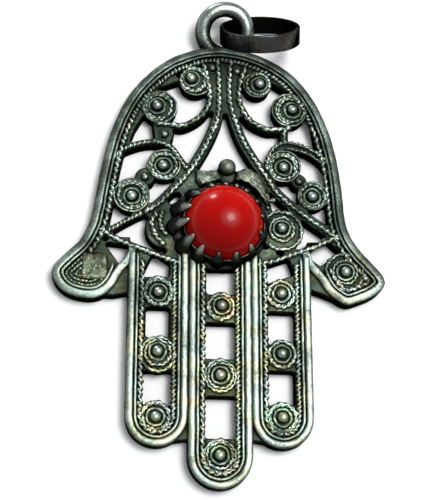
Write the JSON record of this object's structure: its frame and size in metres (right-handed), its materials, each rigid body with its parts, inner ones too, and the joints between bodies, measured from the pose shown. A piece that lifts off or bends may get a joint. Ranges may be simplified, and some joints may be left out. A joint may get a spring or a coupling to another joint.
{
  "type": "hamsa pendant",
  "caption": "Pierced cast metal hand with thumbs turned out, a toothed setting with a round red cabochon, and a flat-band ring through a hanging loop; lies on its flat back.",
  "frame": {"origin": "on the flat back, on the middle line of the hand, behind the setting", "axes": "+Y from the fingers to the hanging loop, +Z out of the front towards the viewer, +X to the viewer's right"},
  "size_m": [0.0365, 0.0556, 0.0081],
  "materials": {
    "old_silver": "worn cast silver, bright on the relief and black in the recesses",
    "red_stone": "polished opaque red",
    "dark_silver": "dark tarnish with bright edges"
  },
  "bodies": {
    "root": {"hand": "old_silver", "stone": "red_stone", "jump_ring": "dark_silver"}
  },
  "joints": []
}
